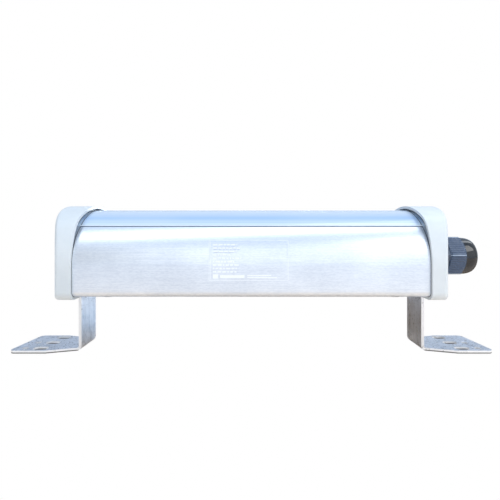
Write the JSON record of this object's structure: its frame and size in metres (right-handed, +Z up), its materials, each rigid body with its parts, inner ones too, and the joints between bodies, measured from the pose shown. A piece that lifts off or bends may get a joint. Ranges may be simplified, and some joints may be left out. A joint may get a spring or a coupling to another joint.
{
  "type": "enclosed yagi antenna",
  "caption": "Low closed aluminium housing with an arched plastic cover, moulded end caps, a cable gland at one end and two Z-shaped slotted feet.",
  "frame": {"origin": "midway between the feet's middle slots, on the plane the feet stand on", "axes": "+X along the housing towards the cable gland, +Y from front to back, +Z up"},
  "size_m": [0.3002, 0.0752, 0.0919],
  "materials": {
    "aluminium_housing": "brushed along its length, clear anodised",
    "cover_plastic": "glossy pale blue-grey",
    "cap_plastic": "fine moulded off-white",
    "seal_rubber": "matt black",
    "screw_steel": "zinc plated",
    "bracket_steel": "rolled sheet, lightly scuffed",
    "gland_nylon": "satin black nylon",
    "aerial_aluminium": "drawn",
    "dipole_brass": "plated",
    "inner_plastic": "natural nylon",
    "board_laminate": "solder mask green",
    "coax_jacket": "brown translucent"
  },
  "bodies": {
    "housing": {"balun_board": "board_laminate", "boom": "aerial_aluminium", "boom_post_1": "inner_plastic", "boom_post_2": "inner_plastic", "boom_post_3": "inner_plastic", "boom_screws": "screw_steel", "cap_screws_left": "screw_steel", "cap_screws_right": "screw_steel", "coax_jack": "dipole_brass", "coax_pigtail": "coax_jacket", "cover_seal_front": "seal_rubber", "cover_seal_rear": "seal_rubber", "director_01": "aerial_aluminium", "director_02": "aerial_aluminium", "director_03": "aerial_aluminium", "director_04": "aerial_aluminium", "director_05": "aerial_aluminium", "director_06": "aerial_aluminium", "director_07": "aerial_aluminium", "director_08": "aerial_aluminium", "director_09": "aerial_aluminium", "director_10": "aerial_aluminium", "driven_element": "dipole_brass", "end_cap_left": "cap_plastic", "end_cap_right": "cap_plastic", "end_gasket_left": "seal_rubber", "end_gasket_right": "seal_rubber", "feed_block": "inner_plastic", "gland_body": "gland_nylon", "gland_locknut": "gland_nylon", "gland_o_ring": "seal_rubber", "gland_sleeve": "seal_rubber", "housing_trough": "aluminium_housing", "jack_nut": "dipole_brass", "plate_screws": "screw_steel", "post_screws": "screw_steel", "radome_cover": "cover_plastic", "reflector_element": "aerial_aluminium", "socket_plate": "aerial_aluminium"},
    "left_clamp": {"bracket_bolt_left": "screw_steel", "bracket_washer_left": "screw_steel", "t_nut_left": "screw_steel"},
    "left_foot": {"bracket_left": "bracket_steel"},
    "right_clamp": {"bracket_bolt_right": "screw_steel", "bracket_washer_right": "screw_steel", "t_nut_right": "screw_steel"},
    "right_foot": {"bracket_right": "bracket_steel"},
    "gland_cage": {"gland_claw": "gland_nylon"},
    "gland_nut": {"gland_dome_nut": "gland_nylon"}
  },
  "joints": [
    {"name": "left_slide", "type": "slide", "parent": "housing", "child": "left_clamp", "axis": [1, 0, 0], "range_m": [-0.003, 0.045]},
    {"name": "left_swivel", "type": "hinge", "parent": "left_clamp", "child": "left_foot", "pos_m": [-0.0935, 0, 0.03595], "axis": [0, 0, 1], "range_deg": [-90, 90]},
    {"name": "right_slide", "type": "slide", "parent": "housing", "child": "right_clamp", "axis": [-1, 0, 0], "range_m": [-0.003, 0.045]},
    {"name": "right_swivel", "type": "hinge", "parent": "right_clamp", "child": "right_foot", "pos_m": [0.0935, 0, 0.03595], "axis": [0, 0, 1], "range_deg": [-90, 90]},
    {"name": "gland_travel", "type": "slide", "parent": "housing", "child": "gland_cage", "axis": [1, 0, 0], "range_m": [0, 0.006]},
    {"name": "gland_turn", "type": "hinge", "parent": "gland_cage", "child": "gland_nut", "pos_m": [0.134, 0, 0.0593], "axis": [1, 0, 0], "range_deg": [0, 1440]}
  ],
  "couplings": [
    {"joint": "gland_turn", "follows": "gland_travel", "rad_per_m": 4188.8}
  ]
}
